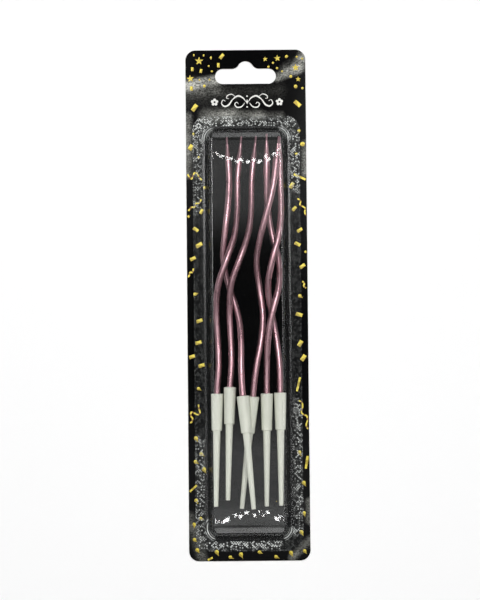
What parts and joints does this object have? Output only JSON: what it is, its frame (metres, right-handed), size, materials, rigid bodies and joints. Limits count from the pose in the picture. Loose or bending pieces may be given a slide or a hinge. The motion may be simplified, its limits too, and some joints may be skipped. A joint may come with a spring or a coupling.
{
  "type": "spiral birthday candle pack",
  "caption": "Hanging blister pack of long spiral birthday candles in white spike holders, under a clear formed tray on a printed black card.",
  "frame": {"origin": "middle of the card's back face", "axes": "+X across the card, +Y up to the hang slot, +Z out of the card's front"},
  "size_m": [0.0512, 0.2174, 0.013],
  "materials": {
    "card_print": "black gloss print on board",
    "clear_film": "clear formed film",
    "pink_wax": "wax with a metallic pink coat",
    "wick_cotton": "cotton dipped in the same coat",
    "white_plastic": "moulded, satin"
  },
  "bodies": {
    "card": {"backing_card": "card_print"},
    "blister": {"blister": "clear_film"},
    "candle_1": {"candle_1": "pink_wax", "wick_1": "wick_cotton"},
    "holder_1": {"holder_1": "white_plastic"},
    "candle_2": {"candle_2": "pink_wax", "wick_2": "wick_cotton"},
    "holder_2": {"holder_2": "white_plastic"},
    "candle_3": {"candle_3": "pink_wax", "wick_3": "wick_cotton"},
    "holder_3": {"holder_3": "white_plastic"},
    "candle_4": {"candle_4": "pink_wax", "wick_4": "wick_cotton"},
    "holder_4": {"holder_4": "white_plastic"},
    "candle_5": {"candle_5": "pink_wax", "wick_5": "wick_cotton"},
    "holder_5": {"holder_5": "white_plastic"},
    "candle_6": {"candle_6": "pink_wax", "wick_6": "wick_cotton"},
    "holder_6": {"holder_6": "white_plastic"}
  },
  "joints": [
    {"name": "blister_peel", "type": "slide", "parent": "card", "child": "blister", "axis": [0, 0, 1], "range_m": [0, 0.04]},
    {"name": "candle_1_shift", "type": "slide", "parent": "card", "child": "candle_1", "axis": [-0.0175, -0.9998, 0.0122], "range_m": [0, 0.002]},
    {"name": "holder_1_pull", "type": "slide", "parent": "candle_1", "child": "holder_1", "axis": [-0.0175, -0.9998, 0.0122], "range_m": [0, 0.00605]},
    {"name": "candle_2_shift", "type": "slide", "parent": "card", "child": "candle_2", "axis": [-0.0262, -0.9994, 0.0244], "range_m": [0, 0.002]},
    {"name": "holder_2_pull", "type": "slide", "parent": "candle_2", "child": "holder_2", "axis": [-0.0262, -0.9994, 0.0244], "range_m": [0, 0.0085]},
    {"name": "candle_3_shift", "type": "slide", "parent": "card", "child": "candle_3", "axis": [0.0871, -0.9954, 0.0401], "range_m": [0, 0.002]},
    {"name": "holder_3_pull", "type": "slide", "parent": "candle_3", "child": "holder_3", "axis": [0.0871, -0.9954, 0.0401], "range_m": [0, 0.00595]},
    {"name": "candle_4_shift", "type": "slide", "parent": "card", "child": "candle_4", "axis": [-0.1078, -0.9927, -0.0541], "range_m": [0, 0.002]},
    {"name": "holder_4_pull", "type": "slide", "parent": "candle_4", "child": "holder_4", "axis": [-0.1078, -0.9927, -0.0541], "range_m": [0, 0.00575]},
    {"name": "candle_5_shift", "type": "slide", "parent": "card", "child": "candle_5", "axis": [-0.0087, -0.9998, -0.0192], "range_m": [0, 0.002]},
    {"name": "holder_5_pull", "type": "slide", "parent": "candle_5", "child": "holder_5", "axis": [-0.0087, -0.9998, -0.0192], "range_m": [0, 0.00595]},
    {"name": "candle_6_shift", "type": "slide", "parent": "card", "child": "candle_6", "axis": [0, -1, 0], "range_m": [0, 0.002]},
    {"name": "holder_6_pull", "type": "slide", "parent": "candle_6", "child": "holder_6", "axis": [0, -1, 0], "range_m": [0, 0.00725]}
  ]
}
